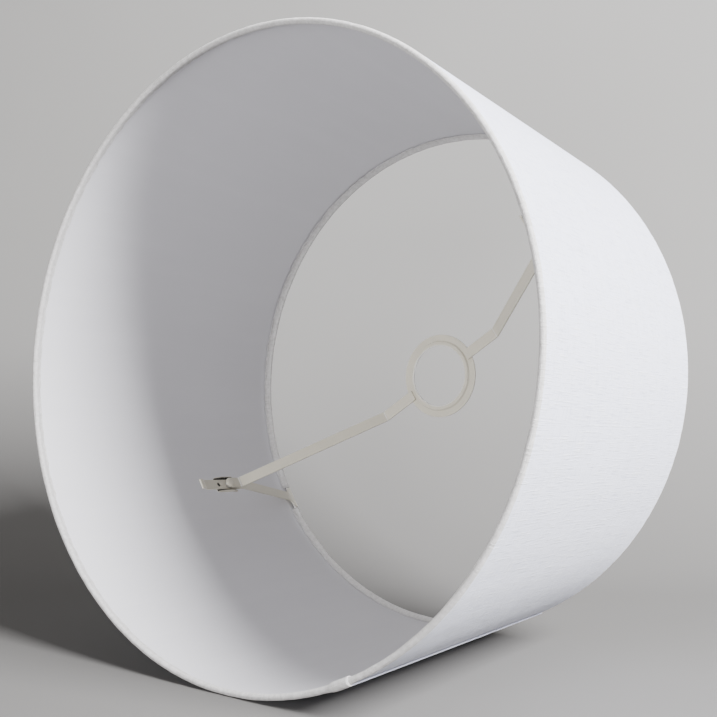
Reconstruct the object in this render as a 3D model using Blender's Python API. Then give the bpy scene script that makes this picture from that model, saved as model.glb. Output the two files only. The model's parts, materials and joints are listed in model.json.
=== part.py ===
"""Tapered drum lamp shade with a reversible fitter, in metres, +Z up.

The shade stands on its large rim, with the origin at the centre of its base. A stiff liner inside a
fabric cover is stretched between two wire rings, and the cover's edges are rolled round the wires. Two
legs are fixed to the small wire ring and carry rivets on one line along X, on which the arms of the
lampholder ring turn, so that the ring can be swung from near the small rim to near the large one.
"""

import math

import bmesh
import bpy
from mathutils import Vector

# Shade: radii are to the outside of the fabric.
LARGE_RIM_RADIUS = 0.180
SMALL_RIM_RADIUS = 0.165
HEIGHT = 0.2065
FABRIC_THICKNESS = 0.0004
LINER_THICKNESS = 0.0004
WIRE_RADIUS = 0.001
HEM_DEPTH = 0.0056
HEM_LEAVES_WIRE_DEG = 38.0
FIT_GAP = 0.0003
ROUND_STEPS = 72
HEM_STEPS = 7

# Fitter: the ring's flange lies this far under the small rim.
RING_DEPTH = 0.015
RING_OUTER_RADIUS = 0.0275
RING_HOLE_RADIUS = 0.020
RING_SEAT_WIDTH = 0.0026
RING_STEP_RUN = 0.0008
RING_STEP_DROP = 0.0013
RING_THICKNESS = 0.0012
ARM_WIDTH = 0.007
ARM_THICKNESS = 0.0012
ARM_OVERLAP = 0.0036
KINK_RADIUS = 0.0505
ARM_BEND_ABOVE_PIVOT = 0.009
PIVOT_HEIGHT = 0.117
LEG_RADIUS = 0.141
LEG_WIDTH = 0.007
LEG_THICKNESS = 0.001
LEG_KNEE_ABOVE_PIVOT = 0.014
FOOT_WIDTH = 0.016
FOOT_FLARE = 0.009
FOOT_TOP_DEG = 130.0
TAB_BELOW_PIVOT = 0.0265
TAB_JOG = 0.0014
DETENT_BELOW_PIVOT = 0.0092
DETENT_RADIUS = 0.0016
YOKE_LENGTH = 0.018
YOKE_DROP = 0.002
YOKE_EAR_LENGTH = 0.009
YOKE_THICKNESS = 0.0009
YOKE_SIDE_GAP = 0.0009
WASHER_THICKNESS = 0.0008
WASHER_RADIUS = 0.0032
RIVET_RADIUS = 0.0015
RIVET_HOLE_CLEARANCE = 0.0002
RIVET_HEAD_RADIUS = 0.0029
RIVET_HEAD_HEIGHT = 0.0006
CLOSED_HEAD_HEIGHT = 0.0008
BEND_RADIUS = 0.0018

# Cutters reach this far past what they cut.
CUT_BEYOND = 0.006

# Places that follow from the sizes above.
BEAD_RADIUS = WIRE_RADIUS + FIT_GAP + FABRIC_THICKNESS
LOW_WIRE_HEIGHT = BEAD_RADIUS
HIGH_WIRE_HEIGHT = HEIGHT - BEAD_RADIUS
LINER_OFFSET = FABRIC_THICKNESS + FIT_GAP
LIP_OFFSET = LINER_OFFSET + LINER_THICKNESS + FIT_GAP
RING_HEIGHT = HEIGHT - RING_DEPTH
ARM_HEIGHT = RING_HEIGHT - FIT_GAP - ARM_THICKNESS / 2
WASHER_OUTER_FACE = LEG_RADIUS - LEG_THICKNESS / 2 - FIT_GAP
ARM_PLATE_RADIUS = WASHER_OUTER_FACE - WASHER_THICKNESS - FIT_GAP - ARM_THICKNESS / 2
YOKE_RADIUS = LEG_RADIUS + LEG_THICKNESS / 2 + FIT_GAP + YOKE_THICKNESS / 2
YOKE_EAR_TIP = ARM_PLATE_RADIUS + ARM_THICKNESS / 2 + FIT_GAP


def clear_scene():
    for item in list(bpy.data.objects):
        bpy.data.objects.remove(item, do_unlink=True)


def make_material(name, colour, roughness, metallic):
    material = bpy.data.materials.new(name)
    material.use_nodes = True
    shader = material.node_tree.nodes["Principled BSDF"]
    shader.inputs["Base Color"].default_value = (*colour, 1.0)
    shader.inputs["Roughness"].default_value = roughness
    shader.inputs["Metallic"].default_value = metallic
    return material


def make_object(name, points, faces, material, sharp_deg=35.0):
    """A mesh object in world coordinates, its faces turned outwards and its round sides shaded smooth."""
    mesh = bpy.data.meshes.new(name)
    mesh.from_pydata(points, [], faces)
    shape = bmesh.new()
    shape.from_mesh(mesh)
    bmesh.ops.recalc_face_normals(shape, faces=shape.faces)
    shape.to_mesh(mesh)
    shape.free()
    mesh.shade_smooth()
    mesh.set_sharp_from_angle(angle=math.radians(sharp_deg))
    mesh.materials.append(material)
    result = bpy.data.objects.new(name, mesh)
    bpy.context.collection.objects.link(result)
    return result


def turn(name, profile, material, steps=ROUND_STEPS):
    """A closed (radius, height) outline turned round the Z axis."""
    points = []
    for step in range(steps):
        angle = 2 * math.pi * step / steps
        points += [(r * math.cos(angle), r * math.sin(angle), z) for r, z in profile]
    count = len(profile)
    faces = []
    for step in range(steps):
        here, there = step * count, (step + 1) % steps * count
        for i in range(count):
            j = (i + 1) % count
            faces.append((here + i, there + i, there + j, here + j))
    return make_object(name, points, faces, material)


def arc(centre, radius, start_deg, end_deg, steps):
    """Points of an arc in a plane, its ends included."""
    angles = [math.radians(start_deg + (end_deg - start_deg) * i / steps) for i in range(steps + 1)]
    return [(centre[0] + radius * math.cos(a), centre[1] + radius * math.sin(a)) for a in angles]


def wall_radius(height, offset=0.0):
    """Radius of the tapered wall at a height, measured inwards from the outside of the fabric."""
    taper = (SMALL_RIM_RADIUS - LARGE_RIM_RADIUS) / HEIGHT
    return LARGE_RIM_RADIUS + taper * height - offset


def wire_centre(height):
    return wall_radius(height, BEAD_RADIUS), height


def rolled_edge(height, up):
    """The cover's edge at one wire: from the outer wall round the wire to the hem's end, and back inside."""
    centre = wire_centre(height)
    sweep_deg = -up * (180.0 + HEM_LEAVES_WIRE_DEG)
    outside = arc(centre, BEAD_RADIUS, 0.0, sweep_deg, HEM_STEPS)
    inside = arc(centre, BEAD_RADIUS - FABRIC_THICKNESS, 0.0, sweep_deg, HEM_STEPS)
    slope = up / math.tan(math.radians(HEM_LEAVES_WIRE_DEG))
    hem_end = height + up * (HEM_DEPTH - BEAD_RADIUS)
    for outline, offset in ((outside, LIP_OFFSET + FABRIC_THICKNESS), (inside, LIP_OFFSET)):
        last_r, last_z = outline[-1]
        landing = last_z + slope * (wall_radius(last_z, offset) - last_r)
        outline.append((wall_radius(landing, offset), landing))
        outline.append((wall_radius(hem_end, offset), hem_end))
    return outside + inside[::-1]


def make_cover(material):
    """The fabric: a tapered wall with both edges rolled round the wires, notched where the feet come in."""
    profile = rolled_edge(LOW_WIRE_HEIGHT, 1) + rolled_edge(HIGH_WIRE_HEIGHT, -1)[::-1]
    cover = turn("fabric_cover", profile, material)
    centre_radius, _ = wire_centre(HIGH_WIRE_HEIGHT)
    half_width = FOOT_WIDTH / 2 + FIT_GAP
    depth = HEM_DEPTH + 2 * FIT_GAP
    for side, name in ((-1, "left"), (1, "right")):
        low = Vector((centre_radius - 2 * CUT_BEYOND, -half_width, HEIGHT - depth))
        high = Vector((centre_radius, half_width, HEIGHT + CUT_BEYOND))
        cut_out(cover, make_box_cutter(name + "_foot_notch", low, high, side))
    return cover


def make_box_cutter(name, low, high, side):
    corners = [(side * x, y, z) for x in (low.x, high.x) for y in (low.y, high.y) for z in (low.z, high.z)]
    faces = [(0, 1, 3, 2), (4, 6, 7, 5), (0, 4, 5, 1), (2, 3, 7, 6), (0, 2, 6, 4), (1, 5, 7, 3)]
    return make_object(name, corners, faces, CUTTER)


def make_pin_cutter(name, side, height, radius):
    """A cylinder along X that cuts a round hole through the flat strips at one pivot."""
    outline = arc((0.0, height), radius, 0.0, 360.0, 24)[:-1]
    ends = (side * (ARM_PLATE_RADIUS - CUT_BEYOND), side * (YOKE_RADIUS + CUT_BEYOND))
    points = [(x, y, z) for x in ends for y, z in outline]
    count = len(outline)
    faces = [tuple(range(count)), tuple(range(2 * count - 1, count - 1, -1))]
    faces += [(i, (i + 1) % count, count + (i + 1) % count, count + i) for i in range(count)]
    return make_object(name, points, faces, CUTTER)


def cut_out(target, cutter):
    cutter.hide_render = True
    cutter.display_type = "WIRE"
    boolean = target.modifiers.new("cut_" + cutter.name, "BOOLEAN")
    boolean.operation = "DIFFERENCE"
    boolean.solver = "EXACT"
    boolean.object = cutter


def make_liner(material):
    """The stiff sheet that the fabric is glued to, a plain cone between the two wires."""
    low = LOW_WIRE_HEIGHT + WIRE_RADIUS + 2 * FIT_GAP
    high = HIGH_WIRE_HEIGHT - WIRE_RADIUS - 2 * FIT_GAP
    back = LINER_OFFSET + LINER_THICKNESS
    profile = [
        (wall_radius(low, back), low),
        (wall_radius(low, LINER_OFFSET), low),
        (wall_radius(high, LINER_OFFSET), high),
        (wall_radius(high, back), high),
    ]
    return turn("liner", profile, material)


def make_wire_ring(name, height, material):
    return turn(name, arc(wire_centre(height), WIRE_RADIUS, 0.0, 360.0, 8)[:-1], material)


def make_fitter_ring(material):
    """A pressed washer: an outer flange, and an inner seat one step nearer the large rim."""
    seat_edge = RING_HOLE_RADIUS + RING_SEAT_WIDTH
    flange_edge = seat_edge + RING_STEP_RUN
    seat = RING_HEIGHT - RING_STEP_DROP
    profile = [
        (RING_HOLE_RADIUS, seat),
        (seat_edge, seat),
        (flange_edge, RING_HEIGHT),
        (RING_OUTER_RADIUS, RING_HEIGHT),
        (RING_OUTER_RADIUS, RING_HEIGHT + RING_THICKNESS),
        (flange_edge - RING_STEP_RUN / 2, RING_HEIGHT + RING_THICKNESS),
        (seat_edge - RING_STEP_RUN / 2, seat + RING_THICKNESS),
        (RING_HOLE_RADIUS, seat + RING_THICKNESS),
    ]
    return turn("fitter_ring", profile, material, 48)


def bent_path(corners, radius, steps=5):
    """A run of straight lines whose corners are rounded to one bend radius."""
    points = [Vector(corners[0])]
    for before, corner, after in zip(corners, corners[1:], corners[2:]):
        corner = Vector(corner)
        back = (Vector(before) - corner).normalized()
        ahead = (Vector(after) - corner).normalized()
        half_angle = back.angle(ahead) / 2
        reach = radius / math.tan(half_angle)
        centre = corner + (back + ahead).normalized() * radius / math.sin(half_angle)
        first, last = corner + back * reach - centre, corner + ahead * reach - centre
        turned = first.angle_signed(last)
        for i in range(steps + 1):
            angle = -turned * i / steps
            points.append(centre + Vector((
                first.x * math.cos(angle) - first.y * math.sin(angle),
                first.x * math.sin(angle) + first.y * math.cos(angle),
            )))
    return points + [Vector(corners[-1])]


def distances(path):
    run = [0.0]
    for a, b in zip(path, path[1:]):
        run.append(run[-1] + (b - a).length)
    return run


def make_strip(name, path, half_widths, thickness, side, material, sags=None):
    """A flat metal strip bent along an (X, Z) path; sags curve a station round Z, by the radius given."""
    across = (-1.0, -0.6, -0.2, 0.2, 0.6, 1.0)
    points = []
    for i, (place, half_width) in enumerate(zip(path, half_widths)):
        share = sags[i] if sags else 0.0
        for t in across:
            y = t * half_width
            drop = share * (place.x - math.sqrt(place.x ** 2 - y ** 2))
            points.append((side * (place.x - drop), y, place.y))
    count = len(across)
    faces = []
    for i in range(len(path) - 1):
        for j in range(count - 1):
            a = i * count + j
            faces.append((a, a + 1, a + count + 1, a + count))
    strip = make_object(name, points, faces, material)
    wall = strip.modifiers.new("sheet_metal", "SOLIDIFY")
    wall.thickness = thickness
    wall.offset = 0.0
    wall.use_even_offset = True
    return strip


def rounded_end(path, half_width, steps=6):
    """A path cut short by half its width, then the stations and half widths of a round end."""
    tip, before = path[-1], path[-2]
    along = (tip - before).normalized()
    centre = tip - along * half_width
    stations, widths = path[:-1] + [centre], [half_width] * len(path)
    for i in range(1, steps):
        angle = math.radians(90.0 * i / steps)
        stations.append(centre + along * half_width * math.sin(angle))
        widths.append(half_width * math.cos(angle))
    return stations, widths


def make_arm(name, side, hole, material):
    """From under the ring's flange level out to a kink, down to the pivot, and flat against the leg."""
    half_width = ARM_WIDTH / 2
    corners = [
        (RING_OUTER_RADIUS - ARM_OVERLAP, ARM_HEIGHT),
        (KINK_RADIUS, ARM_HEIGHT),
        (ARM_PLATE_RADIUS, PIVOT_HEIGHT + ARM_BEND_ABOVE_PIVOT),
        (ARM_PLATE_RADIUS, PIVOT_HEIGHT - half_width),
    ]
    path, widths = rounded_end(bent_path(corners, BEND_RADIUS), half_width)
    arm = make_strip(name, path, widths, ARM_THICKNESS, side, material)
    cut_out(arm, hole)
    return arm


def make_leg(name, side, hole, detent, material):
    """From a saddle on the small wire ring down to the pivot, ending in a tab with a double bend."""
    centre = Vector(wire_centre(HIGH_WIRE_HEIGHT))
    saddle = WIRE_RADIUS + FIT_GAP + LEG_THICKNESS / 2
    knee = Vector((LEG_RADIUS, PIVOT_HEIGHT + LEG_KNEE_ABOVE_PIVOT))
    slope = knee - centre
    leave_deg = 360.0 + math.degrees(math.atan2(slope.y, slope.x)) - 90.0
    leave_deg += math.degrees(math.asin(saddle / slope.length))
    foot = [Vector(p) for p in arc(centre, saddle, FOOT_TOP_DEG, leave_deg, 8)]
    tab_end = PIVOT_HEIGHT - TAB_BELOW_PIVOT
    corners = [
        tuple(foot[-1]),
        tuple(knee),
        (LEG_RADIUS, tab_end + 3 * TAB_JOG),
        (LEG_RADIUS - TAB_JOG, tab_end + 2 * TAB_JOG),
        (LEG_RADIUS - TAB_JOG, tab_end),
    ]
    rest = bent_path(corners, TAB_JOG / 3)
    flare_share = FOOT_FLARE / (rest[1] - rest[0]).length
    flare = [rest[0].lerp(rest[1], flare_share * t) for t in (0.25, 0.5, 0.75, 1.0)]
    path = foot + flare + rest[1:]
    run = distances(path)
    foot_run = run[len(foot) - 1]
    widths, sags = [], []
    for distance in run:
        t = min(max((distance - foot_run) / FOOT_FLARE, 0.0), 1.0)
        blend = 0.5 + 0.5 * math.cos(math.pi * t)
        widths.append((LEG_WIDTH + (FOOT_WIDTH - LEG_WIDTH) * blend) / 2)
        sags.append(blend)
    leg = make_strip(name, path, widths, LEG_THICKNESS, side, material, sags)
    cut_out(leg, hole)
    cut_out(leg, detent)
    return leg


def make_yoke(name, side, hole, material):
    """A U of sheet metal behind the leg, whose two ears stand past the leg's edges towards the arm."""
    ear = LEG_WIDTH / 2 + YOKE_SIDE_GAP + YOKE_THICKNESS / 2
    slope_length = (YOKE_LENGTH - YOKE_EAR_LENGTH) / 2
    middle = PIVOT_HEIGHT - YOKE_DROP
    points, rows = [], []
    for z, tip in (
        (middle - YOKE_LENGTH / 2, LEG_RADIUS),
        (middle - YOKE_LENGTH / 2 + slope_length, YOKE_EAR_TIP),
        (middle + YOKE_LENGTH / 2 - slope_length, YOKE_EAR_TIP),
        (middle + YOKE_LENGTH / 2, LEG_RADIUS),
    ):
        corners = [(tip, -ear), (YOKE_RADIUS, -ear), (YOKE_RADIUS, ear), (tip, ear)]
        outline = bent_path(corners, YOKE_THICKNESS, 4)
        rows.append(range(len(points), len(points) + len(outline)))
        points += [(side * p.x, p.y, z) for p in outline]
    faces = []
    for low, high in zip(rows, rows[1:]):
        faces += [(low[i], low[i + 1], high[i + 1], high[i]) for i in range(len(low) - 1)]
    yoke = make_object(name, points, faces, material)
    wall = yoke.modifiers.new("sheet_metal", "SOLIDIFY")
    wall.thickness = YOKE_THICKNESS
    wall.offset = 0.0
    wall.use_even_offset = True
    cut_out(yoke, hole)
    return yoke


def turn_on_pivot(name, profile, side, material, steps=24):
    """A closed (radius, X) outline turned round one pivot's axis."""
    points, faces, count = [], [], len(profile)
    for step in range(steps):
        angle = 2 * math.pi * step / steps
        points += [
            (side * x, r * math.cos(angle), PIVOT_HEIGHT + r * math.sin(angle)) for r, x in profile
        ]
        here, there = step * count, (step + 1) % steps * count
        for i in range(count):
            j = (i + 1) % count
            faces.append((here + i, there + i, there + j, here + j))
    return make_object(name, points, faces, material)


def make_washer(name, side, material):
    bore = RIVET_RADIUS + RIVET_HOLE_CLEARANCE
    outer, inner = WASHER_OUTER_FACE, WASHER_OUTER_FACE - WASHER_THICKNESS
    profile = [(bore, inner), (WASHER_RADIUS, inner), (WASHER_RADIUS, outer), (bore, outer)]
    return turn_on_pivot(name, profile, side, material)


def make_rivet(name, side, material):
    """A low domed head against the arm, and a taller head closed over behind the yoke."""
    inner_face = ARM_PLATE_RADIUS - ARM_THICKNESS / 2 - FIT_GAP
    outer_face = YOKE_RADIUS + YOKE_THICKNESS / 2 + FIT_GAP
    dome = [
        (RIVET_HEAD_RADIUS * math.cos(a), inner_face - RIVET_HEAD_HEIGHT * math.sin(a))
        for a in (math.radians(18 * i) for i in range(5))
    ]
    closed = [(r, outer_face + (inner_face - x) * CLOSED_HEAD_HEIGHT / RIVET_HEAD_HEIGHT) for r, x in dome]
    outline = dome[::-1] + [(RIVET_RADIUS, inner_face), (RIVET_RADIUS, outer_face)] + closed
    steps = 24
    points = []
    for r, x in outline:
        for step in range(steps):
            angle = 2 * math.pi * step / steps
            points.append((side * x, r * math.cos(angle), PIVOT_HEIGHT + r * math.sin(angle)))
    count = len(outline)
    faces = [tuple(range(steps)), tuple(range((count - 1) * steps, count * steps))]
    for i in range(count - 1):
        for j in range(steps):
            k = (j + 1) % steps
            faces.append((i * steps + j, i * steps + k, (i + 1) * steps + k, (i + 1) * steps + j))
    return make_object(name, points, faces, material)


clear_scene()
CUTTER = make_material("cutter", (0.8, 0.2, 0.2), 0.5, 0.0)
LINEN = make_material("white_linen", (0.83, 0.83, 0.86), 0.85, 0.0)
LINER = make_material("white_liner", (0.76, 0.76, 0.78), 0.55, 0.0)
WIRE = make_material("ring_wire", (0.70, 0.69, 0.66), 0.45, 0.6)
COATED = make_material("ivory_powder_coat", (0.74, 0.71, 0.64), 0.42, 0.0)
STEEL = make_material("zinc_plated_steel", (0.66, 0.65, 0.62), 0.35, 0.9)

make_cover(LINEN)
make_liner(LINER)
make_wire_ring("large_wire_ring", LOW_WIRE_HEIGHT, WIRE)
make_wire_ring("small_wire_ring", HIGH_WIRE_HEIGHT, WIRE)
make_fitter_ring(COATED)
for SIDE, LABEL in ((-1, "left"), (1, "right")):
    PIN_HOLE = make_pin_cutter(LABEL + "_pin_hole", SIDE, PIVOT_HEIGHT, RIVET_RADIUS + RIVET_HOLE_CLEARANCE)
    DETENT = make_pin_cutter(LABEL + "_detent_hole", SIDE, PIVOT_HEIGHT - DETENT_BELOW_PIVOT, DETENT_RADIUS)
    make_arm(LABEL + "_arm", SIDE, PIN_HOLE, COATED)
    make_leg(LABEL + "_leg", SIDE, PIN_HOLE, DETENT, COATED)
    make_yoke(LABEL + "_yoke", SIDE, PIN_HOLE, COATED)
    make_washer(LABEL + "_friction_washer", SIDE, STEEL)
    make_rivet(LABEL + "_pivot_rivet", SIDE, COATED)
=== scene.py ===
import json
import math

import bmesh
import bpy
import numpy as np
from mathutils import Matrix, Vector


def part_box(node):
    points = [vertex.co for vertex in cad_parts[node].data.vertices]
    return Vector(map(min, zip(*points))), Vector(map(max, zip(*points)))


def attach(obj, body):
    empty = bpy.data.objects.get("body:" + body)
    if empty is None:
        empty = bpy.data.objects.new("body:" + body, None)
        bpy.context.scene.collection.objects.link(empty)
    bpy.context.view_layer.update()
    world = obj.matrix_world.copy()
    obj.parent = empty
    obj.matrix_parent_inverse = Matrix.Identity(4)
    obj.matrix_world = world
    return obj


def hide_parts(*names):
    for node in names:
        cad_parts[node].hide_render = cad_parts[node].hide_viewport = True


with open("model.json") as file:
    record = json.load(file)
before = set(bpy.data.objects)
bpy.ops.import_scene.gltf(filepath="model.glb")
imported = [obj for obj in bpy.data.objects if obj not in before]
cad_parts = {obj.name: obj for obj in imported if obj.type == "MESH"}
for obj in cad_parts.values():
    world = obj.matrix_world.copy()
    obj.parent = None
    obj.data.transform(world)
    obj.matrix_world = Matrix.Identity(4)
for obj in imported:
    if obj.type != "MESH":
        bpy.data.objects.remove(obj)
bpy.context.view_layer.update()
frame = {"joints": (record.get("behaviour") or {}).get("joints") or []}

# ---------------------------------------------------------------------------------------------------
# Fabric cover. One sheet of white plain-weave linen, glued round the stiff liner as a shallow cone. Its
# two long edges are rolled round the wire rings and tucked inside as hems, and its ends are lapped at
# one seam, where the upper end is folded under so that no raw edge shows.

LOW_WIRE, HIGH_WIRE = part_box("large_wire_ring"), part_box("small_wire_ring")
WIRE_RADIUS = (HIGH_WIRE[1].z - HIGH_WIRE[0].z) / 2
LOW_WIRE_AT = np.array((LOW_WIRE[1].x - WIRE_RADIUS, LOW_WIRE[1].z - WIRE_RADIUS))
HIGH_WIRE_AT = np.array((HIGH_WIRE[1].x - WIRE_RADIUS, HIGH_WIRE[1].z - WIRE_RADIUS))
ROLL_RADIUS = LOW_WIRE_AT[1]
TAPER = (HIGH_WIRE_AT[0] - LOW_WIRE_AT[0]) / (HIGH_WIRE_AT[1] - LOW_WIRE_AT[1])
CLOTH = 0.0004
HEM_DEPTH = 0.0056
HEM_OFFSET = 0.00135
HEM_LEAVES_ROLL = math.radians(38)
SEAM_AT = math.radians(97)
LAP, LAP_SLOPE = 0.0125, 0.006
FOLD_UNDER, FOLD_AT = 0.008, 0.0006
LAYER = CLOTH + 0.00005
FOOT_HALF_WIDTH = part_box("left_leg")[1].y + 0.0005
ROLL_POINTS, HEM_POINTS, NOTCH_ROWS = 15, 5, 13
GROOVE_ROWS_END, PLAIN_ROWS_FROM = 0.0065, 0.009
GROOVE_FROM_WIRE, GROOVE_WIDTH, GROOVE_DEPTH = 0.0029, 0.0009, 0.00009
WAVINESS, TUCKS, EDGE_WANDER = 0.00005, 0.00007, 0.00035


def wall_radius(z, offset=0.0):
    """Radius of the cone at height z: the low wire's own radius plus the roll, tapered, less the offset."""
    return LOW_WIRE_AT[0] + ROLL_RADIUS + TAPER * (z - LOW_WIRE_AT[1]) - offset


def rolled_profile():
    """The cloth's middle line as (radius, height): hem, roll round the low wire, wall, roll, hem.

    A roll is an arc of the roll's radius about the wire, from the outer wall past the bottom, or the
    top, to where a straight run leaves it and lands on the liner. Returns the line and its hem mask."""
    middle = ROLL_RADIUS - CLOTH / 2
    sweep = np.linspace(0, math.pi + HEM_LEAVES_ROLL, ROLL_POINTS)
    ends = []
    for wire, up in ((LOW_WIRE_AT, 1), (HIGH_WIRE_AT, -1)):
        roll = wire + middle * np.stack((np.cos(sweep), -up * np.sin(sweep)), 1)
        last_r, last_z = roll[-1]
        slope = up / math.tan(HEM_LEAVES_ROLL)
        landing = last_z + slope * (wall_radius(last_z, HEM_OFFSET) - last_r)
        hem_end = wire[1] + up * (HEM_DEPTH - ROLL_RADIUS)
        z = np.linspace(landing, hem_end, HEM_POINTS)
        hem = np.stack((wall_radius(z, HEM_OFFSET), z), 1)
        ends.append(np.concatenate((roll, hem)))
    low, high = ends[0][::-1], ends[1]
    near = np.linspace(0.0005, GROOVE_ROWS_END, 12)
    z = np.concatenate((
        LOW_WIRE_AT[1] + near,
        np.linspace(LOW_WIRE_AT[1] + PLAIN_ROWS_FROM, HIGH_WIRE_AT[1] - PLAIN_ROWS_FROM, 46),
        HIGH_WIRE_AT[1] - near[::-1],
    ))
    wall = np.stack((wall_radius(z, CLOTH / 2), z), 1)
    line = np.concatenate((low, wall, high))
    hem = np.ones(len(line))
    hem[len(low):len(low) + len(wall)] = 0
    return line, hem


def lapped_round():
    """The cloth's way round the shade: how far along the rim each column stands, and how many layers up.

    It starts as the flap, folded under the lap and one layer up, turns back at the fold, climbs over the
    flap and the sheet's other end at two layers up, comes down to the wall, and ends under the flap."""
    rim = wall_radius(0)
    round_once = 2 * math.pi * rim
    flap = np.linspace(FOLD_UNDER, FOLD_AT, 9)
    bend = np.linspace(-math.pi / 2, -3 * math.pi / 2, 7)[1:-1]
    fold = FOLD_AT + 0.5 * LAYER * np.cos(bend)
    lap = np.linspace(FOLD_AT, LAP + LAP_SLOPE + 0.001, 16)
    feet = np.array((-1.0, 1.0)) * FOOT_HALF_WIDTH
    rest = np.linspace(LAP + LAP_SLOPE + 0.003, round_once + LAP - 0.002, 330)
    at_feet = np.concatenate([
        ((centre - SEAM_AT) % (2 * math.pi)) * rim + feet * rim / HIGH_WIRE_AT[0] for centre in (0, math.pi)
    ])
    rest = np.sort(np.concatenate((rest, at_feet)))
    along = np.concatenate((flap, fold, lap, rest))
    down = np.clip((lap - FOLD_UNDER) / (LAP + LAP_SLOPE - FOLD_UNDER), 0, 1)
    layers = np.concatenate((
        np.ones(len(flap)),
        1.5 - 0.5 * np.sin(bend),
        2 - 2 * down * down * (3 - 2 * down),
        np.zeros(len(rest)),
    ))
    return along, layers, rim


def put_mesh(name, points, faces, uv=None, masks=None):
    """A mesh object from whole arrays; uv is one pair for each point, and masks are named point values."""
    mesh = bpy.data.meshes.new(name)
    mesh.from_pydata(points.tolist(), [], [list(f) for f in faces])
    corner = np.zeros(len(mesh.loops), np.int32)
    mesh.loops.foreach_get("vertex_index", corner)
    if uv is not None:
        mesh.uv_layers.new(name="cloth")
        mesh.uv_layers["cloth"].data.foreach_set("uv", uv[corner].astype(np.float32).ravel())
    for label, values in (masks or {}).items():
        mesh.attributes.new(label, "FLOAT", "POINT").data.foreach_set("value", values.astype(np.float32))
    mesh.shade_smooth()
    piece = bpy.data.objects.new(name, mesh)
    bpy.context.scene.collection.objects.link(piece)
    return piece


def grid_faces(columns, rows, close_columns=False, close_rows=False, keep=None):
    """Quads of a grid of points stored column by column, wound so that column x row points outwards."""
    i = np.arange(columns if close_columns else columns - 1)[:, None]
    j = np.arange(rows if close_rows else rows - 1)[None, :]
    i2, j2 = (i + 1) % columns, (j + 1) % rows
    quads = np.stack([a * rows + b for a, b in ((i, j), (i2, j), (i2, j2), (i, j2))], -1)
    if keep is not None:
        quads = quads[keep]
    return quads.reshape(-1, 4)


def line_normals(line):
    """Unit normals of a (radius, height) line, turned a quarter clockwise from its direction."""
    step = np.gradient(line, axis=0)
    normal = np.stack((step[:, 1], -step[:, 0]), 1)
    return normal / np.linalg.norm(normal, axis=1)[:, None]


def ripples(angle, seed, tones, low, high):
    """A smooth closed wobble round the rim: a seeded sum of sines of whole numbers of waves, about +-1."""
    random = np.random.default_rng(seed)
    waves = random.integers(low, high, tones)
    phases = random.uniform(0, 2 * math.pi, tones)
    return np.sin(angle[:, None] * waves + phases).sum(1) / math.sqrt(tones)


def wrap_cloth():
    """Carries the rolled profile round the lapped path, each point moved out by its layers of cloth.

    A shallow groove follows each roll, the hems pucker in fine tucks, and their cut edges wander. At the
    two feet the hem and part of the roll are cut away. Also returns the cloth's flat width and length."""
    line, hem = rolled_profile()
    normal = line_normals(line)
    along, layers, rim = lapped_round()
    angle = SEAM_AT + along / rim
    run = np.concatenate(([0], np.cumsum(np.linalg.norm(np.diff(line, axis=0), axis=1))))
    rise = layers[:, None] * LAYER * np.ones(len(line))
    for groove in (LOW_WIRE_AT[1] + GROOVE_FROM_WIRE, HIGH_WIRE_AT[1] - GROOVE_FROM_WIRE):
        rise = rise - GROOVE_DEPTH * np.exp(-((line[:, 1] - groove) / GROOVE_WIDTH) ** 2) * (1 - hem)
    rise = rise + WAVINESS * ripples(angle, 3, 9, 5, 60)[:, None] * (1 - hem)
    rise = rise + TUCKS * ripples(angle, 5, 14, 120, 420)[:, None] * hem
    r = line[:, 0] + rise * normal[:, 0]
    z = line[:, 1] + rise * normal[:, 1]
    edge = EDGE_WANDER * ripples(angle, 8, 10, 20, 160)
    z[:, :4] += edge[:, None] * np.linspace(1, 0.2, 4)
    z[:, -4:] -= edge[::-1, None] * np.linspace(0.2, 1, 4)
    points = np.stack((r * np.cos(angle)[:, None], r * np.sin(angle)[:, None], z), -1)
    middle = (angle[1:] + angle[:-1]) / 2
    half = FOOT_HALF_WIDTH / HIGH_WIRE_AT[0]
    at_foot = np.abs((middle + math.pi / 2) % math.pi - math.pi / 2) < half
    inside_top = np.arange(len(line) - 1) >= len(line) - NOTCH_ROWS
    keep = ~(at_foot[:, None] & inside_top[None, :])
    uv = np.stack(np.broadcast_arrays(along[:, None], run[None, :]), -1).reshape(-1, 2)
    masks = {"hem": np.tile(hem, len(angle))}
    faces = grid_faces(len(angle), len(line), keep=keep)
    cover = put_mesh("linen_cover", points.reshape(-1, 3), faces, uv, masks)
    wall = cover.modifiers.new("cloth_thickness", "SOLIDIFY")
    wall.thickness = CLOTH
    wall.offset = 0
    return cover, run[-1], float(np.abs(np.diff(along)).sum())


class Formula:
    """One socket of a finish. Arithmetic on it adds Math nodes, so a pattern is written as its formula."""

    def __init__(self, finish, socket):
        self.finish, self.socket = finish, socket

    def math(self, operation, *others):
        inputs = dict(enumerate((self, *others)))
        return self.finish.node("ShaderNodeMath", {"operation": operation}, inputs)

    def __add__(self, other):
        return self.math("ADD", other)

    def __sub__(self, other):
        return self.math("SUBTRACT", other)

    def __rsub__(self, other):
        return self.math("MULTIPLY_ADD", -1.0, other)

    def __mul__(self, other):
        return self.math("MULTIPLY", other)

    __radd__ = __add__
    __rmul__ = __mul__

    def between(self, low, high):
        """0 below low, 1 above high, and a smooth step between them."""
        inputs = {"Value": self, "From Min": low, "From Max": high}
        return self.finish.node("ShaderNodeMapRange", {"interpolation_type": "SMOOTHSTEP"}, inputs)


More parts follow.
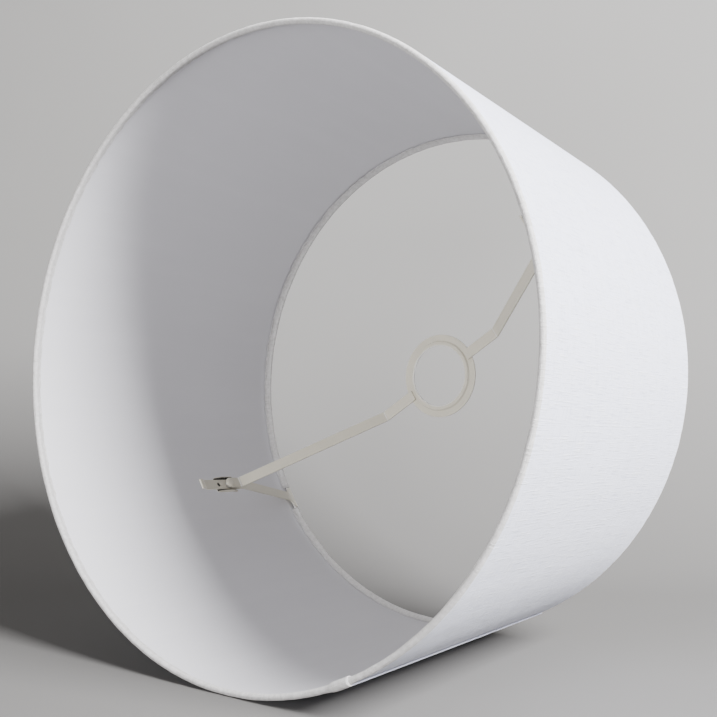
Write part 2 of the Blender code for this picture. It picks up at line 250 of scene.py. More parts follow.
class Finish:
    """A named material with one Principled shader; plain values are set on its own sockets."""

    def __init__(self, name, **constants):
        self.material = bpy.data.materials.new(name)
        self.material.use_nodes = True
        self.tree = self.material.node_tree
        self.shader = self.tree.nodes["Principled BSDF"]
        for socket, value in constants.items():
            self.shader.inputs[socket.replace("_", " ")].default_value = value

    def feed(self, socket, value):
        if isinstance(value, Formula):
            self.tree.links.new(value.socket, socket)
        else:
            socket.default_value = value

    def node(self, kind, settings=None, inputs=None, output=0):
        made = self.tree.nodes.new(kind)
        for key, value in (settings or {}).items():
            setattr(made, key, value)
        for key, value in (inputs or {}).items():
            self.feed(made.inputs[key], value)
        return Formula(self, made.outputs[output])

    def split(self, vector):
        return [self.node("ShaderNodeSeparateXYZ", inputs={0: vector}, output=i) for i in range(3)]

    def join(self, x, y, z=0.0):
        return self.node("ShaderNodeCombineXYZ", inputs={0: x, 1: y, 2: z})

    def noise(self, vector, scale, detail=2.0, roughness=0.5):
        inputs = {"Vector": vector, "Scale": scale, "Detail": detail, "Roughness": roughness}
        return self.node("ShaderNodeTexNoise", inputs=inputs)

    def mix(self, mask, first, second):
        colours = [(*c, 1.0) if isinstance(c, tuple) else c for c in (first, second)]
        inputs = {0: mask, 6: colours[0], 7: colours[1]}
        return self.node("ShaderNodeMix", {"data_type": "RGBA"}, inputs, output=2)

    def colour(self, value):
        self.feed(self.shader.inputs["Base Color"], value)

    def roughness(self, value):
        self.feed(self.shader.inputs["Roughness"], value)

    def bump(self, height, distance, strength=1.0):
        inputs = {"Height": height, "Distance": distance, "Strength": strength}
        self.feed(self.shader.inputs["Normal"], self.node("ShaderNodeBump", inputs=inputs))


THREAD_PITCH = 0.00052


def linen_finish():
    """Plain weave: each thread is a rounded ridge that rises over one crossing and dips under the next.

    Along one thread the ridge's height is |sin| across it times a raised sine along it, whose phase flips
    from thread to thread; the higher of warp and weft shows. Slubs are noise stretched along a thread."""
    linen = Finish("white_linen", Roughness=0.9, Sheen_Weight=0.25, Sheen_Roughness=0.4)
    linen.shader.inputs["Specular IOR Level"].default_value = 0.25
    u, v, _ = linen.split(linen.node("ShaderNodeUVMap", {"uv_map": "cloth"}))
    drift = linen.noise(linen.join(u, v), 90, 2) * 0.0006
    turn = math.pi / THREAD_PITCH
    warp, weft = (u + drift) * turn, (v + drift) * turn
    warp_ridge = warp.math("SINE").math("ABSOLUTE")
    weft_ridge = weft.math("SINE").math("ABSOLUTE")
    warp_turn = (warp * (1 / math.pi)).math("FLOOR") * math.pi
    weft_turn = (weft * (1 / math.pi)).math("FLOOR") * math.pi
    over = (weft + warp_turn).math("SINE") * 0.5 + 0.5
    under = (warp + weft_turn).math("SINE") * -0.5 + 0.5
    weave = (warp_ridge * over).math("MAXIMUM", weft_ridge * under)
    weft_slubs = linen.noise(linen.join(u * 60, v * 1150), 1, 3, 0.6)
    warp_slubs = linen.noise(linen.join(u * 1150, v * 55 + 40), 1, 3, 0.6)
    slubs = weft_slubs.between(0.54, 0.70) * 0.8 + warp_slubs.between(0.53, 0.70)
    thin = weft_slubs.between(0.47, 0.32) * 0.7 + warp_slubs.between(0.46, 0.30)
    cloudy = linen.noise(linen.join(u * 9, v * 14), 1, 3, 0.55)
    hem = linen.node("ShaderNodeAttribute", {"attribute_name": "hem"}, output=2)
    plain = linen.mix(cloudy, (0.735, 0.76, 0.92), (0.78, 0.805, 0.955))
    thready = linen.mix(slubs * 0.8, plain, (0.90, 0.92, 0.99))
    worn = linen.mix(thin * 0.75, thready, (0.56, 0.585, 0.73))
    # Painted light on the weave: the crowns of the threads are painted lighter than the gaps between them.
    crowns_painted_light = linen.mix(weave * 0.16, worn, (0.89, 0.90, 0.96))
    hem_noise = linen.noise(linen.join(u * 400, v * 400), 1, 4, 0.6)
    # Painted shade: the rolled hems are painted a darker, warmer grey than the linen, in two tones mixed by
    # noise.
    hem_in_painted_shade = linen.mix(hem_noise.between(0.3, 0.7), (0.49, 0.47, 0.445), (0.66, 0.64, 0.62))
    linen.colour(linen.mix(hem * 0.85, crowns_painted_light, hem_in_painted_shade))
    linen.roughness(cloudy * 0.1 + 0.82)
    linen.bump(weave * 0.45 + slubs * 0.8 - thin * 0.4, 0.00025, 0.8)
    return linen.material


cover, COVER_WIDTH, COVER_LENGTH = wrap_cloth()
cover.data.materials.append(linen_finish())
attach(cover, "shade")
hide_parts("fabric_cover")

# ---------------------------------------------------------------------------------------------------
# Liner. A stiff sheet of smooth matt white plastic, rolled to the same cone and lapped behind the
# cover's seam; the linen is glued to its back, and the hems lie on its two edges.

LINER = 0.00045
LINER_OFFSET = 0.00082
LINER_LAP, LINER_STEP_FROM, LINER_STEP_RUN = 0.011, 0.0032, 0.003
LINER_SLACK = 0.00006


def roll_liner():
    """The cone's middle surface, radius falling with height, carried once round plus the lap.

    The last stretch steps one thickness inwards, so that it lies on the sheet's own beginning."""
    gap = WIRE_RADIUS + 0.0004
    z = np.linspace(LOW_WIRE_AT[1] + gap, HIGH_WIRE_AT[1] - gap, 40)
    rim = wall_radius(0)
    round_once = 2 * math.pi * rim
    along = np.concatenate((
        np.linspace(0, round_once - 0.004, 320),
        round_once + np.linspace(-LINER_STEP_FROM, LINER_LAP, 22),
    ))
    angle = SEAM_AT + along / rim
    step = np.clip((along - round_once + LINER_STEP_FROM) / LINER_STEP_RUN, 0, 1)
    inwards = step * step * (3 - 2 * step) * (LINER + 0.00004)
    bulge = np.sin(math.pi * (z - z[0]) / (z[-1] - z[0]))
    slack = LINER_SLACK * ripples(angle, 12, 6, 2, 14)[:, None] * bulge
    r = wall_radius(z, LINER_OFFSET)[None, :] - inwards[:, None] + slack
    points = np.stack((r * np.cos(angle)[:, None], r * np.sin(angle)[:, None], z * np.ones_like(r)), -1)
    uv = np.stack(np.broadcast_arrays(along[:, None], z[None, :]), -1).reshape(-1, 2)
    liner = put_mesh("liner_sheet", points.reshape(-1, 3), grid_faces(len(angle), len(z)), uv)
    wall = liner.modifiers.new("sheet_thickness", "SOLIDIFY")
    wall.thickness = LINER
    wall.offset = 0
    return liner


def liner_finish():
    """Calendered plastic: a faint grain, and the cloth behind it just telling through as soft streaks."""
    plastic = Finish("matt_white_liner", Roughness=0.5)
    plastic.shader.inputs["Specular IOR Level"].default_value = 0.3
    u, v, _ = plastic.split(plastic.node("ShaderNodeUVMap", {"uv_map": "cloth"}))
    grain = plastic.noise(plastic.join(u, v), 2600, 2, 0.5)
    streaks = plastic.noise(plastic.join(u * 70, v * 9), 1, 3, 0.5)
    cloudy = plastic.noise(plastic.join(u, v), 12, 3, 0.5)
    base = plastic.mix(cloudy, (0.70, 0.695, 0.74), (0.745, 0.74, 0.785))
    plastic.colour(plastic.mix(streaks.between(0.4, 0.75) * 0.25, base, (0.78, 0.775, 0.82)))
    plastic.roughness(cloudy * 0.12 + grain * 0.06 + 0.45)
    plastic.bump(grain * 0.35 + streaks * 0.65, 0.00006, 0.5)
    return plastic.material


liner = roll_liner()
liner.data.materials.append(liner_finish())
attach(liner, "shade")
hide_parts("liner")

# ---------------------------------------------------------------------------------------------------
# Wire rings. Two hoops of round steel wire, off-white coated, inside the rolled edges. The small one
# shows only in the two notches of the hem where the legs' feet are welded to it.


def turned(name, line, columns, masks=None):
    """A closed (radius, height) line carried once round Z. The line runs anticlockwise."""
    angle = np.linspace(0, 2 * math.pi, columns, endpoint=False)[:, None]
    r, z = line[:, 0][None, :], line[:, 1][None, :] * np.ones((columns, 1))
    points = np.stack((r * np.cos(angle), r * np.sin(angle), z), -1).reshape(-1, 3)
    masks = {label: np.tile(values, columns) for label, values in (masks or {}).items()}
    return put_mesh(name, points, grid_faces(columns, len(line), True, True), masks=masks)


def coated_finish(name, light, shade, roughness, painted_shade_inside=None):
    """Powder coat: a fine orange-peel skin, a slow drift of tone, and a painted highlight along each bend,
    whose mask also raises a ridge in the bump and smooths the coat there.

    Inside |x| and |y| under the two given limits, the coat is painted near-black: painted shade."""
    coat = Finish(name, Roughness=roughness)
    coat.shader.inputs["Specular IOR Level"].default_value = 0.5
    place = coat.node("ShaderNodeTexCoord", output=3)
    peel = coat.noise(place, 1400, 2, 0.45)
    drift = coat.noise(place, 60, 3, 0.5)
    speck = coat.noise(place, 900, 1, 0.5).between(0.68, 0.78)
    stretched = coat.node("ShaderNodeAttribute", {"attribute_name": "bend"}, output=2)
    base = coat.mix(drift, shade, light)
    specked = coat.mix(speck * 0.25, base, tuple(0.72 * c for c in shade))
    # Painted highlight: along bends, and on the ring's lip and hole wall, the coat is lightened to near
    # white.
    with_painted_light = coat.mix(stretched, specked, (0.98, 0.97, 0.94))
    # Painted shade: inside the given limits the colour is made near-black.
    if painted_shade_inside:
        x, y, _ = (part.math("ABSOLUTE") for part in coat.split(place))
        painted_shade_x, painted_shade_y = (part.between(edge + 0.0002, edge) for part, edge in zip((x, y), painted_shade_inside))
        with_painted_light = coat.mix(painted_shade_x * painted_shade_y, with_painted_light, (0.035, 0.033, 0.03))
    coat.colour(with_painted_light)
    coat.roughness(roughness + 0.1 * (drift - 0.5) - 0.12 * stretched)
    coat.bump(peel * 0.45 + stretched * 8, 0.00004)
    return coat.material


WIRE_FINISH = coated_finish("off_white_wire", (0.72, 0.71, 0.68), (0.62, 0.61, 0.58), 0.45)
ROUND = np.linspace(0, 2 * math.pi, 14, endpoint=False)
for node, at in (("large_wire_ring", LOW_WIRE_AT), ("small_wire_ring", HIGH_WIRE_AT)):
    hoop = turned(node + "_hoop", at + WIRE_RADIUS * np.stack((np.cos(ROUND), np.sin(ROUND)), 1), 240)
    hoop.data.materials.append(WIRE_FINISH)
    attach(hoop, "shade")
    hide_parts(node)

# ---------------------------------------------------------------------------------------------------
# Fitter ring. A pressed steel washer with an ivory powder coat: a flat flange, a step, and an inner
# seat for the lampholder whose hole has a rounded lip. The lampholder's own thread goes through it.

RING_LOW, RING_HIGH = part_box("fitter_ring")
RING_OUTER = RING_HIGH.x
RING_HOLE = 0.020
PLATE = 0.0012
SEAT_WIDTH, STEP_RUN = 0.0026, 0.0008
LIP, ARC_STEPS = 0.0009, 9


def rounded_outline(corners, radii, steps=5):
    """A closed outline whose corners are arcs: each arc is tangent to its two sides, at its own radius."""
    corners = np.array(corners, float)
    before, after = np.roll(corners, 1, 0) - corners, np.roll(corners, -1, 0) - corners
    before /= np.linalg.norm(before, axis=1)[:, None]
    after /= np.linalg.norm(after, axis=1)[:, None]
    half = np.arccos(np.clip((before * after).sum(1), -1, 1)) / 2
    reach = np.array(radii) / np.tan(half)
    start, end = corners + before * reach[:, None], corners + after * reach[:, None]
    t = np.linspace(0, 1, steps)[None, :, None]
    arcs = (1 - t) ** 2 * start[:, None] + 2 * t * (1 - t) * corners[:, None] + t * t * end[:, None]
    return arcs.reshape(-1, 2)


def press_ring():
    """The washer's outline: flange, step and seat at one thickness, and a wide round lip into the hole."""
    low = RING_LOW.z
    drop = RING_HIGH.z - RING_LOW.z - PLATE
    seat, flange = RING_HOLE + SEAT_WIDTH, RING_HOLE + SEAT_WIDTH + STEP_RUN
    outline = rounded_outline([
        (RING_HOLE, low), (seat, low), (flange, low + drop), (RING_OUTER, low + drop),
        (RING_OUTER, low + drop + PLATE), (flange - STEP_RUN / 2, low + drop + PLATE),
        (seat - STEP_RUN / 2, low + PLATE), (RING_HOLE, low + PLATE),
    ], [LIP, 0.0004, 0.0003, 0.0004, 0.0004, 0.0004, 0.0003, 0.0002], ARC_STEPS)
    # Painted highlight: the lip and the hole's inner wall get the full highlight mask, which also raises
    # the bump there.
    stretched = np.zeros(len(outline))
    stretched[:ARC_STEPS], stretched[-ARC_STEPS:] = np.linspace(1, 0, ARC_STEPS) ** 0.5, 1
    return turned("pressed_ring", outline, 192, {"bend": stretched})


IVORY = coated_finish("ivory_powder_coat", (0.71, 0.67, 0.56), (0.65, 0.615, 0.515), 0.3)
ring = press_ring()
ring.data.materials.append(IVORY)
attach(ring, "fitter")
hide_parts("fitter_ring")

# ---------------------------------------------------------------------------------------------------
# Arms. Two flat strips of the same coated steel, spot-welded under the ring's flange: level to a kink,
# down to the pivot, then flat against the leg, with a round end about the rivet's hole.

PIVOT_Z = frame["joints"][0]["pos_m"][2]
WASHER_LOW, WASHER_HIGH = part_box("right_friction_washer")
RIVET_HOLE = 0.0017
KINK_R = 0.0505
KNEE_ABOVE_PIVOT, ARM_BEND = 0.009, 0.002
WELD_SINK = 0.0002
EDGE_BREAK = 0.00022


def bent_line(corners, radius, steps=7):
    """Straight runs with rounded corners: the line, the distance along it, and how bent it is there."""
    corners = [np.array(c, float) for c in corners]
    line, bent = [corners[0][None]], [np.zeros(1)]
    t = np.linspace(0, 1, steps)[:, None]
    for before, corner, after in zip(corners, corners[1:], corners[2:]):
        back, ahead = before - corner, after - corner
        back, ahead = back / np.linalg.norm(back), ahead / np.linalg.norm(ahead)
        reach = radius / math.tan(math.acos(float(np.clip(back @ ahead, -1, 1))) / 2)
        arc = corner + reach * ((1 - t) ** 2 * back + t * t * ahead)
        line += [(corner + 1.5 * reach * back)[None], arc, (corner + 1.5 * reach * ahead)[None]]
        bent += [np.zeros(1), np.sin(math.pi * t[:, 0]), np.zeros(1)]
    line, bent = np.concatenate(line + [corners[-1][None]]), np.concatenate(bent + [np.zeros(1)])
    return line, run_along(line), bent


def run_along(line):
    return np.concatenate(([0], np.cumsum(np.linalg.norm(np.diff(line, axis=0), axis=1))))


def punched_blank(run, half_widths, eyes, round_end=False):
    """The flat blank as (run, across) points and quads, an eye punched at each (place, radius, reach).

    Plain stretches are grids at the line's own stations. About an eye the sheet is drawn in steps from
    the stretch's outline, or the round end's, to the circle, each point straight towards the middle."""
    across = np.linspace(-1, 1, 9)
    stops = [run[0], *(place + sign * reach for place, _, reach in eyes for sign in (-1, 1)), run[-1]]
    points, faces, count = [], [], 0
    for start, stop in zip(stops[::2], stops[1::2]):
        if stop - start > 1e-6:
            at = np.concatenate(([start], run[(run > start) & (run < stop)], [stop]))
            wide = np.interp(at, run, half_widths)[:, None] * across
            points.append(np.stack((at[:, None] * np.ones(9), wide), -1).reshape(-1, 2))
            faces.append(grid_faces(len(at), 9) + count)
            count += len(points[-1])
    for place, radius, reach in eyes:
        last = round_end and place == eyes[-1][0]
        wide = np.interp(place, run, half_widths)
        side = np.linspace(-1, 1, 7)[1:-1] * reach
        if last:
            turn = np.linspace(0, math.pi, 21)
            far = np.stack((wide * np.sin(turn), wide * np.cos(turn)), 1)
            side = side[side < -1e-6]
        else:
            far = np.stack((np.full(9, reach), wide * across[::-1]), 1)
        near = np.stack((np.full(9, -reach), wide * across), 1)
        up = np.stack((side, np.full(len(side), wide)), 1)
        outline = np.concatenate((near, up, far, up[::-1] * (1, -1)))
        circle = outline * radius / np.linalg.norm(outline, axis=1)[:, None]
        rings = [(place, 0) + outline + (circle - outline) * share for share in (0, 0.35, 0.7, 1)]
        points.append(np.concatenate(rings))
        faces.append(grid_faces(4, len(outline), close_rows=True) + count)
        count += len(points[-1])
    return np.concatenate(points), np.concatenate(faces)


def tidy_mesh(piece):
    """Merges the points that blocks share, and turns every face the same way."""
    shape = bmesh.new()
    shape.from_mesh(piece.data)
    bmesh.ops.remove_doubles(shape, verts=shape.verts, dist=1e-6)
    bmesh.ops.recalc_face_normals(shape, faces=shape.faces)
    shape.to_mesh(piece.data)
    shape.free()


def press(name, blank, line, bent, thickness, stand):
    """A blank bent along its line, its edges broken: stand turns (line x, line y, across) into a place."""
    flat, faces = blank
    run = run_along(line)
    a, b = (np.interp(flat[:, 0], run, line[:, i]) for i in (0, 1))
    points = np.stack(stand(a, b, flat[:, 1]), 1)
    # The bend mask gives coated_finish its painted highlight and bump ridge along each bend.
    piece = put_mesh(name, points, faces, masks={"bend": np.interp(flat[:, 0], run, bent)})
    tidy_mesh(piece)
    wall = piece.modifiers.new("sheet_metal", "SOLIDIFY")
    wall.thickness, wall.offset, wall.use_even_offset = thickness, 0, True
    edge = piece.modifiers.new("broken_edge", "BEVEL")
    edge.width, edge.segments, edge.angle_limit = EDGE_BREAK, 3, math.radians(50)
    edge.limit_method, edge.use_clamp_overlap, edge.harden_normals = "ANGLE", False, True
    return piece


def bend_arm(name, side, node):
    low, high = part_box(node)
    plate_x = max(abs(low.x), abs(high.x)) - PLATE / 2
    start_x = min(abs(low.x), abs(high.x))
    half, level = high.y, high.z - PLATE / 2 + WELD_SINK
    line, run, bent = bent_line([
        (start_x, level), (KINK_R, level), (plate_x, PIVOT_Z + KNEE_ABOVE_PIVOT),
        (plate_x, PIVOT_Z - half),
    ], ARM_BEND)
    eye = (run[-1] - half, RIVET_HOLE, half)
    blank = punched_blank(run, np.full(len(run), half), [eye], round_end=True)
    arm = press(name, blank, line, bent, PLATE, lambda x, z, y: (side * x, y, z))
    arm.data.materials.append(IVORY)
    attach(arm, "fitter")
    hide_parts(node)


for side, label in ((-1, "left"), (1, "right")):
    bend_arm(label + "_arm_strip", side, label + "_arm")

# ---------------------------------------------------------------------------------------------------
# Legs. Two strips of thinner coated steel. A wide foot is wrapped on the small wire in the hem's notch
# and welded to it; the strip runs down to the pivot, past a punched stop hole, to a tab that is jogged
# inwards to be gripped by a finger.

LEG_PLATE = 0.001
LEG_R = WASHER_HIGH.x + 0.0003 + LEG_PLATE / 2
FOOT_TOP = math.radians(130)
FOOT_FLARE = 0.009
LEG_HALF_WIDTH, JOG, LEG_BEND = 0.0035, 0.0014, 0.0006
LEG_KNEE_ABOVE_PIVOT = 0.014
STOP_BELOW_PIVOT, STOP_HOLE, STOP_REACH = 0.0092, 0.0016, 0.0028


def bend_leg(name, side, node):
    """The foot is an arc about the wire, and curves with it; its flare narrows as a half cosine."""
    low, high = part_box(node)
    foot_half, half, jog = high.y, LEG_HALF_WIDTH, JOG
    saddle = WIRE_RADIUS + LEG_PLATE / 2 + 0.00005
    knee = np.array((LEG_R, PIVOT_Z + LEG_KNEE_ABOVE_PIVOT))
    slope = knee - HIGH_WIRE_AT
    leaves = math.atan2(slope[1], slope[0]) + 1.5 * math.pi + math.asin(saddle / np.hypot(*slope))
    turn = np.linspace(FOOT_TOP, leaves, 12)
    foot = HIGH_WIRE_AT + saddle * np.stack((np.cos(turn), np.sin(turn)), 1)
    line, _, bent = bent_line([
        foot[-1], knee, (LEG_R, low.z + 3 * jog), (LEG_R - jog, low.z + 2 * jog), (LEG_R - jog, low.z),
    ], LEG_BEND)
    ahead = (knee - foot[-1]) / np.linalg.norm(knee - foot[-1])
    flare = foot[-1] + ahead * np.linspace(0, FOOT_FLARE, 7)[:, None]
    line = np.concatenate((foot[:-1], flare, line[1:]))
    # The foot's arc carries a third of the painted highlight, fading out along the flare.
    bent = np.concatenate((np.full(len(foot) - 1, 0.3), np.linspace(0.3, 0, 7), bent[1:]))
    run = run_along(line)
    foot_run = run[len(foot) - 1]
    wide = 0.5 + 0.5 * np.cos(math.pi * np.clip((run - foot_run) / FOOT_FLARE, 0, 1))
    level = run[-1] - (PIVOT_Z - low.z) - 2 * jog * (math.sqrt(2) - 1) / 2
    eyes = [(level, RIVET_HOLE, half), (level + STOP_BELOW_PIVOT, STOP_HOLE, STOP_REACH)]
    blank = punched_blank(run, half + (foot_half - half) * wide, eyes)

    def stand(x, z, y):
        hug = np.interp(z, (HIGH_WIRE_AT[1] - FOOT_FLARE, HIGH_WIRE_AT[1] - 0.002), (0, 1))
        return side * (x - hug * (x - np.sqrt(x * x - y * y))), y, z

    leg = press(name, blank, line, bent, LEG_PLATE, stand)
    leg.data.materials.append(IVORY)
    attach(leg, "shade")
    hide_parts(node)


for side, label in ((-1, "left"), (1, "right")):
    bend_leg(label + "_leg_strip", side, label + "_leg")

# ---------------------------------------------------------------------------------------------------
# Yokes. A small U of sheet steel behind each leg, held by the rivet. Its two ears stand past the edges
# of leg and arm, and guide the arm as it turns. Its narrow inside is painted near-black: painted shade.


YOKE_PLATE, YOKE_BEND = 0.0009, 0.0009
EAR_TIP_HALF_WIDTH, EYE_FROM_EARS = 0.0045, 0.0012
YOKE_LOW, YOKE_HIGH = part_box("right_yoke")
# The yoke's finish paints its narrow inside near-black, as painted shade.
YOKE_FINISH = coated_finish(
    "ivory_coat_bare_inside", (0.71, 0.67, 0.56), (0.65, 0.615, 0.515), 0.3,
    (YOKE_HIGH.x - 0.7 * YOKE_PLATE, YOKE_HIGH.y - 0.7 * YOKE_PLATE),
)


def bend_yoke(name, side, node):
    """A U line across the leg, its ears narrowing to their tips. The sheet reaches further below the rivet
    than above it: each height is lowered by a drop that grows with its square, so the eye stays round."""
    low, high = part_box(node)
    base_x = max(abs(low.x), abs(high.x)) - YOKE_PLATE / 2
    tip_x = min(abs(low.x), abs(high.x))
    ear_y = high.y - YOKE_PLATE / 2
    corners = [(tip_x, -ear_y), (base_x, -ear_y), (base_x, ear_y), (tip_x, ear_y)]
    line, _, bent = bent_line(corners, YOKE_BEND)
    full, tip, drop = (high.z - low.z) / 2, EAR_TIP_HALF_WIDTH, PIVOT_Z - (high.z + low.z) / 2
    half = np.where(line[:, 0] < LEG_R, tip + (full - tip) * (line[:, 0] - tip_x) / (LEG_R - tip_x), full)
    line = np.insert(line, (1, len(line) - 1), ((LEG_R, -ear_y), (LEG_R, ear_y)), axis=0)
    half = np.insert(half, (1, len(half) - 1), full)
    bent = np.insert(bent, (1, len(bent) - 1), 0)
    run = run_along(line)
    blank = punched_blank(run, half, [(run[-1] / 2, RIVET_HOLE, ear_y - EYE_FROM_EARS)])
    lowered = lambda x, y, z: (side * x, y, PIVOT_Z + z - drop * (z / full) ** 2)
    yoke = press(name, blank, line, bent, YOKE_PLATE, lowered)
    yoke.data.materials.append(YOKE_FINISH)
    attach(yoke, "shade")
    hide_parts(node)


for side, label in ((-1, "left"), (1, "right")):
    bend_yoke(label + "_yoke_clip", side, label + "_yoke")

# ---------------------------------------------------------------------------------------------------
# Pivot rivets. Each is pushed through arm, washer, leg and yoke from inside the shade, its shank is
# closed over behind the yoke, and it is coated with the rest of the fitter.

HEAD, CLOSED_HEAD, SHANK = 0.0006, 0.0008, 0.0015
PLAY, UNDERCUT = 0.0001, 0.0002
DIMPLE = np.array(((0.0012, -0.0001), (0.0008, -0.00035), (0, -0.0004)))


def turned_on_pivot(name, outline, side):
    """A closed (radius, X) outline carried once round the pivot line."""
    angle = np.linspace(0, 2 * math.pi, 40, endpoint=False)[:, None]
    r, x = outline[:, 0][None, :], outline[:, 1][None, :] * np.ones((40, 1))
    points = np.stack((side * x, r * np.cos(angle), PIVOT_Z + r * np.sin(angle)), -1).reshape(-1, 3)
    piece = put_mesh(name, points, grid_faces(40, len(outline), True, True))
    tidy_mesh(piece)
    piece.data.set_sharp_from_angle(angle=math.radians(40))
    return piece


def close_rivet(name, side, node):
    """A low dome, a straight shank, and a taller head with the closing tool's dimple in its middle."""
    low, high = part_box(node)
    inner, outer, head = min(abs(low.x), abs(high.x)), max(abs(low.x), abs(high.x)), high.y
    arm_face, yoke_face = inner + HEAD + PLAY, outer - CLOSED_HEAD - PLAY
    swell = np.linspace(math.pi / 2, 0, 9)
    dome = np.stack((head * np.cos(swell), arm_face - (arm_face - inner) * np.sin(swell)), 1)
    bulge = yoke_face + (outer - yoke_face) * np.sin(swell) ** 0.7
    closed = np.stack((head * np.cos(swell), bulge), 1)[::-1]
    neck = [
        (head, arm_face + UNDERCUT), (SHANK, arm_face + UNDERCUT), (SHANK, yoke_face - UNDERCUT),
        (head, yoke_face - UNDERCUT),
    ]
    outline = np.concatenate((dome, neck, closed[:-2], DIMPLE + (0, outer)))
    rivet = turned_on_pivot(name, outline, side)
    rivet.data.materials.append(IVORY)
    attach(rivet, "shade")
    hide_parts(node)


for side, label in ((-1, "left"), (1, "right")):
    close_rivet(label + "_rivet", side, label + "_pivot_rivet")

# ---------------------------------------------------------------------------------------------------
# Friction washers. Dished rings of zinc-plated spring steel between arm and leg, squeezed by the rivet,
# so that the ring stays at the tilt where it is put.


def zinc_finish():
    """Dull zinc: rings left by turning, at a fixed pitch from the pivot line, under a fine bloom."""
    zinc = Finish("zinc_plated_steel", Metallic=0.9, Roughness=0.4)
    place = zinc.node("ShaderNodeTexCoord", output=3)
    _, y, z = zinc.split(place)
    out = (y * y + (z - PIVOT_Z) * (z - PIVOT_Z)).math("SQRT")
    rings = (out * 9000).math("SINE") * 0.5 + 0.5
    bloom = zinc.noise(place, 700, 3, 0.55)
    zinc.colour(zinc.mix(bloom, (0.58, 0.57, 0.54), (0.72, 0.71, 0.69)))
    zinc.roughness(bloom * 0.25 + 0.28)
    zinc.bump(rings * 0.4 + bloom * 0.6, 0.00003, 0.5)
    return zinc.material


def dish_washer(name, side, node):
    """A ring whose bore stands nearer the arm than its edge, so that it fills the gap on both sides."""
    low, high, outer = WASHER_LOW.x, WASHER_HIGH.x, WASHER_HIGH.y
    outline = rounded_outline([
        (RIVET_HOLE, low - 0.0002), (outer, low + 0.0001), (outer, high + 0.0002), (RIVET_HOLE, high),
    ], [0.00015] * 4, 4)
    washer = turned_on_pivot(name, outline, side)
    washer.data.materials.append(ZINC)
    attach(washer, "shade")
    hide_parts(node)


ZINC = zinc_finish()
for side, label in ((-1, "left"), (1, "right")):
    dish_washer(label + "_dished_washer", side, label + "_friction_washer")

# ---------------------------------------------------------------------------------------------------
# Camera. It looks up into the large rim, rolled so that the shade lies on its side in the view.

CAMERA_PLACE = Vector((0.3249, 0.2642, -0.4432))
AXIS_IN_VIEW = Vector((0.60486, 0.07591, 0.79271))
ARM_SIDE_IN_VIEW = Vector((0.68427, -0.55873, -0.46861))


def place_camera():
    """The part's X and Z axes are given as seen by the camera; the rest of the turn follows from them."""
    z_axis = AXIS_IN_VIEW.normalized()
    x_axis = (ARM_SIDE_IN_VIEW - z_axis * ARM_SIDE_IN_VIEW.dot(z_axis)).normalized()
    right, down, ahead = (Vector(row) for row in zip(x_axis, z_axis.cross(x_axis), z_axis))
    data = bpy.data.cameras.new("camera")
    data.lens = 57.2
    data.clip_start = 0.01
    camera = bpy.data.objects.new("camera", data)
    turned_to_view = Matrix((right, -down, -ahead)).transposed().to_4x4()
    camera.matrix_world = Matrix.Translation(CAMERA_PLACE) @ turned_to_view
    bpy.context.scene.collection.objects.link(camera)
    bpy.context.scene.camera = camera
    return right, -down, -ahead


RIGHT, UP, BACK = place_camera()

# ---------------------------------------------------------------------------------------------------
# Stage. A roll of pale paper that the shade lies on in the main view, swept up into a backdrop behind it,
# and a floor under the large rim for the other views. Each is seen from its front only.


def paper_finish(name, middle, near, far, catches_shadows):
    """Pale board with a faint tooth; it fades out with distance from the middle, and from behind.

    Half of the surround's light comes through it, so that the side it touches isn't black."""
    paper = Finish(name, Roughness=0.8)
    paper.shader.inputs["Specular IOR Level"].default_value = 0.2
    place = paper.node("ShaderNodeTexCoord", output=3)
    tooth = paper.noise(place, 900, 3, 0.6)
    cloud = paper.noise(place, 5, 2, 0.5)
    raised = paper.node("ShaderNodeAttribute", {"attribute_name": "raised"}, output=2)
    # Painted shade: the level part of the paper is painted darker than the swept-up wall.
    table_in_painted_shade = paper.mix(cloud, (0.150, 0.147, 0.145), (0.164, 0.161, 0.159))
    wall = paper.mix(cloud, (0.212, 0.209, 0.205), (0.230, 0.226, 0.222))
    paper.colour(paper.mix(raised.between(0.0, 0.35), table_in_painted_shade, wall))
    paper.roughness(tooth * 0.1 + 0.75)
    paper.bump(tooth, 0.0001, 0.3)
    away = paper.node("ShaderNodeVectorMath", {"operation": "DISTANCE"}, {0: place, 1: middle}, output=1)
    behind = paper.node("ShaderNodeNewGeometry", output=6)
    shown = (1 - away.between(near, far)) * (1 - behind)
    if catches_shadows:
        shown = shown * (1 - 0.5 * paper.node("ShaderNodeLightPath", output=2))
    else:
        shown = shown * paper.node("ShaderNodeLightPath", output=0)
    clear = paper.node("ShaderNodeBsdfTransparent")
    solid = Formula(paper, paper.shader.outputs[0])
    faded = paper.node("ShaderNodeMixShader", inputs={0: shown, 1: clear, 2: solid})
    paper.feed(paper.tree.nodes["Material Output"].inputs[0], faded)
    return paper.material


CONTACT = math.radians(124)
SLOPE = math.atan(-TAPER)
DOWN = np.array((math.cos(CONTACT) * math.cos(SLOPE), math.sin(CONTACT) * math.cos(SLOPE), math.sin(SLOPE)))
LIES_ON = DOWN * ((wall_radius(0) + 0.0002) * math.cos(SLOPE))
WALL_AWAY, SWEEP_RADIUS = 0.55, 0.30
FLOOR_Z = -0.0012


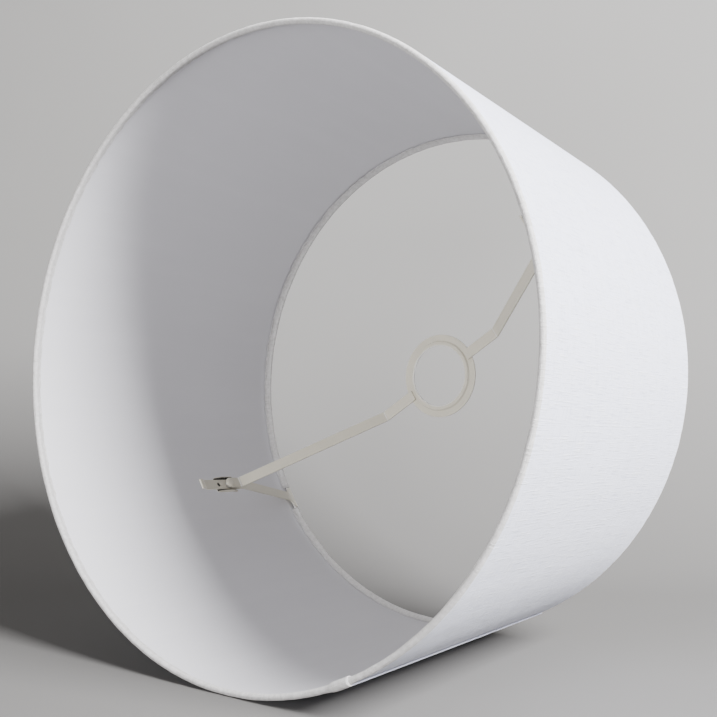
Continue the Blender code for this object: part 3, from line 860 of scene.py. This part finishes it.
def lay_paper():
    """A level line, a quarter circle and the wall, carried across; its front is towards the shade."""
    back = np.array(BACK) - np.array(BACK).dot(DOWN) * DOWN
    back /= np.linalg.norm(back)
    turn = np.linspace(0, math.pi / 2, 15)
    away = np.concatenate(([-1.6, -0.8, 0], WALL_AWAY - SWEEP_RADIUS * (1 - np.sin(turn)), [WALL_AWAY]))
    up = np.concatenate(([0, 0, 0], SWEEP_RADIUS * (1 - np.cos(turn)), [2.4]))
    side = np.linspace(-2.4, 2.4, 9)[:, None, None] * np.cross(back, DOWN)
    points = LIES_ON - away[None, :, None] * back - up[None, :, None] * DOWN + side
    raised = {"raised": np.tile(up, 9)}
    paper = put_mesh("paper_roll", points.reshape(-1, 3), grid_faces(9, len(away)), masks=raised)
    paper.data.materials.append(paper_finish("backdrop_paper", Vector(LIES_ON), 1.5, 2.4, True))


def lay_floor():
    t = np.linspace(-3, 3, 9)
    x, y = np.meshgrid(t, t, indexing="ij")
    points = np.stack((x, y, np.full_like(x, FLOOR_Z)), -1).reshape(-1, 3)
    floor = put_mesh("floor", points, grid_faces(9, 9))
    floor.data.materials.append(paper_finish("floor_paper", Vector((0, 0, 0)), 0.5, 2.5, False))


lay_paper()
lay_floor()

# ---------------------------------------------------------------------------------------------------
# Light. A large soft key from the upper right in front, a weak fill that shines into the large rim, and
# an even, slightly warm grey surround.

MIDDLE = Vector((0, 0, 0.1))
for name, place, size, power in (
    ("key", RIGHT * 1.12 + UP * 0.97 + BACK * 1.02, 0.75, 176),
    ("fill", Vector(DOWN) * 0.07 + Vector((0, 0, -1.2)), 0.45, 12),
):
    data = bpy.data.lights.new(name, "AREA")
    data.size = size
    data.energy = power
    lamp = bpy.data.objects.new(name, data)
    lamp.location = MIDDLE + place
    lamp.rotation_mode = "QUATERNION"
    lamp.rotation_quaternion = place.to_track_quat("Z", "Y")
    bpy.context.scene.collection.objects.link(lamp)

world = bpy.data.worlds.new("surround")
bpy.context.scene.world = world
world.use_nodes = True
world.node_tree.nodes["Background"].inputs[0].default_value = (0.212, 0.203, 0.188, 1)
world.node_tree.nodes["Background"].inputs[1].default_value = 1.0
